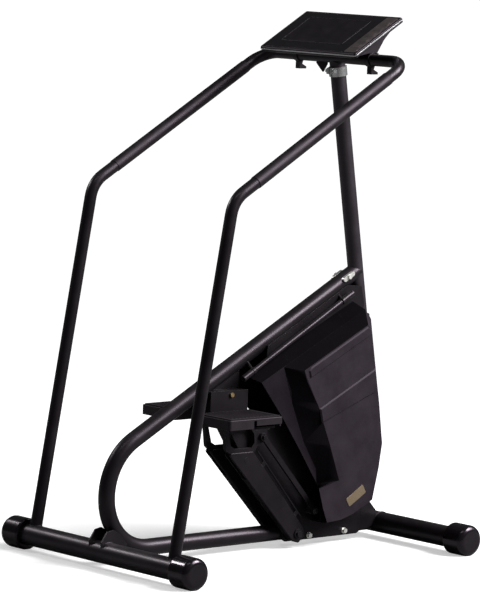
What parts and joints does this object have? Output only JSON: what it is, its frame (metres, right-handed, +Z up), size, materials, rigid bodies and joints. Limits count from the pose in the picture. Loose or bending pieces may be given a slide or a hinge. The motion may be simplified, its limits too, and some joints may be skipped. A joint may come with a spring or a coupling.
{
  "type": "stair climber",
  "caption": "Stair-stepping climber with a bent-tube frame, handrail loop, tilted console, covered drive and independent self-returning pedals on parallel arms.",
  "frame": {"origin": "on the floor, midway between the two base tubes and midway across the machine", "axes": "+Z up, +Y the way the user faces (towards the console), +X the user's right"},
  "size_m": [0.808, 1.118, 1.5232],
  "materials": {
    "frame_paint": "satin black powder coat",
    "cap_plastic": "gloss black moulding",
    "grip_vinyl": "dull black vinyl sleeve",
    "drive_frame_paint": "satin black paint",
    "zinc_bolt": "bright zinc plate",
    "brass_bolt": "yellow zinc plate",
    "dark_steel": "oiled steel",
    "arm_paint": "satin black paint",
    "bronze_bush": "sintered bronze",
    "pedal_plastic": "fine-grained black moulding",
    "tread_rubber": "ribbed black rubber",
    "spring_sleeve": "satin dark grey tube",
    "spring_fitting": "grey moulded end",
    "steel_drive": "turned steel",
    "bearing_iron": "painted iron housing",
    "pulley_alloy": "cast alloy",
    "alternator_alloy": "cast alloy",
    "belt_rubber": "black belt rubber",
    "cover_plastic": "textured black vacuum-formed plastic",
    "badge_metal": "blank foil plate",
    "console_plastic": "fine-grained black moulding",
    "console_glass": "dark glossy panel",
    "keypad_film": "satin grey film",
    "trim_silver": "satin silver strip",
    "clip_steel": "black clips",
    "clamp_chrome": "chrome plate"
  },
  "bodies": {
    "base": {"alternator_body": "alternator_alloy", "arm_pivot_shaft": "arm_paint", "base_caps": "cap_plastic", "blank_badge": "badge_metal", "console_clips": "clip_steel", "console_housing": "console_plastic", "console_keypad": "keypad_film", "console_trim": "trim_silver", "console_window": "console_glass", "crossbar_tab": "frame_paint", "drive_belt": "belt_rubber", "drive_plates": "drive_frame_paint", "frame_bolts": "zinc_bolt", "frame_gussets": "frame_paint", "front_base_tube": "frame_paint", "handrail_grips": "grip_vinyl", "handrail_loop": "frame_paint", "link_pivot_shaft": "dark_steel", "link_spacers": "dark_steel", "mast_clamp": "clamp_chrome", "mast_tube": "frame_paint", "nose_cover": "cover_plastic", "rear_base_tube": "frame_paint", "shaft_bearings": "bearing_iron", "side_cover_left": "cover_plastic", "side_cover_right": "cover_plastic", "spine_tube": "frame_paint", "spring_anchor": "zinc_bolt", "spring_collars": "spring_fitting", "spring_end_fittings": "spring_fitting", "spring_tubes": "spring_sleeve", "stop_bolt": "brass_bolt", "stop_bracket": "drive_frame_paint", "stop_bumpers": "tread_rubber"},
    "arm_right": {"lower_arm_right": "arm_paint", "arm_edge_rod_right": "arm_paint", "arm_bush_right": "bronze_bush", "carrier_pin_right": "arm_paint"},
    "arm_left": {"lower_arm_left": "arm_paint", "arm_edge_rod_left": "arm_paint", "arm_bush_left": "bronze_bush", "carrier_pin_left": "arm_paint"},
    "link_right": {"levelling_link_right": "arm_paint"},
    "link_left": {"levelling_link_left": "arm_paint"},
    "pedal_right": {"pedal_carrier_right": "arm_paint", "link_pin_right": "arm_paint", "pedal_right": "pedal_plastic", "pedal_bolts_right": "dark_steel", "pedal_tread_right": "tread_rubber"},
    "pedal_left": {"pedal_carrier_left": "arm_paint", "link_pin_left": "arm_paint", "pedal_left": "pedal_plastic", "pedal_bolts_left": "dark_steel", "pedal_tread_left": "tread_rubber"},
    "hub_right": {"clutch_hub_right": "steel_drive"},
    "hub_left": {"clutch_hub_left": "steel_drive"},
    "shaft": {"drive_shaft": "steel_drive", "drive_wheel": "pulley_alloy", "shaft_collars": "dark_steel"},
    "rotor": {"alternator_pulley": "pulley_alloy"}
  },
  "joints": [
    {"name": "arm_right_swing", "type": "hinge", "parent": "base", "child": "arm_right", "pos_m": [0, 0.162, 0.044], "axis": [1, 0, 0], "range_deg": [0, 43], "stiffness_Nm_per_rad": 14, "springref_deg": -85.94},
    {"name": "link_right_swing", "type": "hinge", "parent": "base", "child": "link_right", "pos_m": [0, 0.223, 0.106], "axis": [1, 0, 0], "range_deg": [0, 43]},
    {"name": "pedal_right_level", "type": "hinge", "parent": "arm_right", "child": "pedal_right", "pos_m": [0, -0.04355, 0.27069], "axis": [1, 0, 0], "range_deg": [-43, 0]},
    {"name": "hub_right_turn", "type": "hinge", "parent": "base", "child": "hub_right", "pos_m": [0, 0.261, 0.455], "axis": [1, 0, 0], "range_deg": [-280, 0]},
    {"name": "arm_left_swing", "type": "hinge", "parent": "base", "child": "arm_left", "pos_m": [0, 0.162, 0.044], "axis": [1, 0, 0], "range_deg": [0, 43], "stiffness_Nm_per_rad": 14, "springref_deg": -85.94},
    {"name": "link_left_swing", "type": "hinge", "parent": "base", "child": "link_left", "pos_m": [0, 0.223, 0.106], "axis": [1, 0, 0], "range_deg": [0, 43]},
    {"name": "pedal_left_level", "type": "hinge", "parent": "arm_left", "child": "pedal_left", "pos_m": [0, -0.04355, 0.27069], "axis": [1, 0, 0], "range_deg": [-43, 0]},
    {"name": "hub_left_turn", "type": "hinge", "parent": "base", "child": "hub_left", "pos_m": [0, 0.261, 0.455], "axis": [1, 0, 0], "range_deg": [-280, 0]},
    {"name": "shaft_spin", "type": "hinge", "parent": "base", "child": "shaft", "pos_m": [0, 0.261, 0.455], "axis": [1, 0, 0], "continuous": true},
    {"name": "rotor_spin", "type": "hinge", "parent": "base", "child": "rotor", "pos_m": [0, 0.336, 0.232], "axis": [1, 0, 0], "continuous": true}
  ],
  "couplings": [
    {"joint": "link_right_swing", "follows": "arm_right_swing", "ratio": 1},
    {"joint": "pedal_right_level", "follows": "arm_right_swing", "ratio": -1},
    {"joint": "hub_right_turn", "follows": "arm_right_swing", "ratio": -6.5},
    {"joint": "link_left_swing", "follows": "arm_left_swing", "ratio": 1},
    {"joint": "pedal_left_level", "follows": "arm_left_swing", "ratio": -1},
    {"joint": "hub_left_turn", "follows": "arm_left_swing", "ratio": -6.5},
    {"joint": "rotor_spin", "follows": "shaft_spin", "ratio": 5}
  ]
}
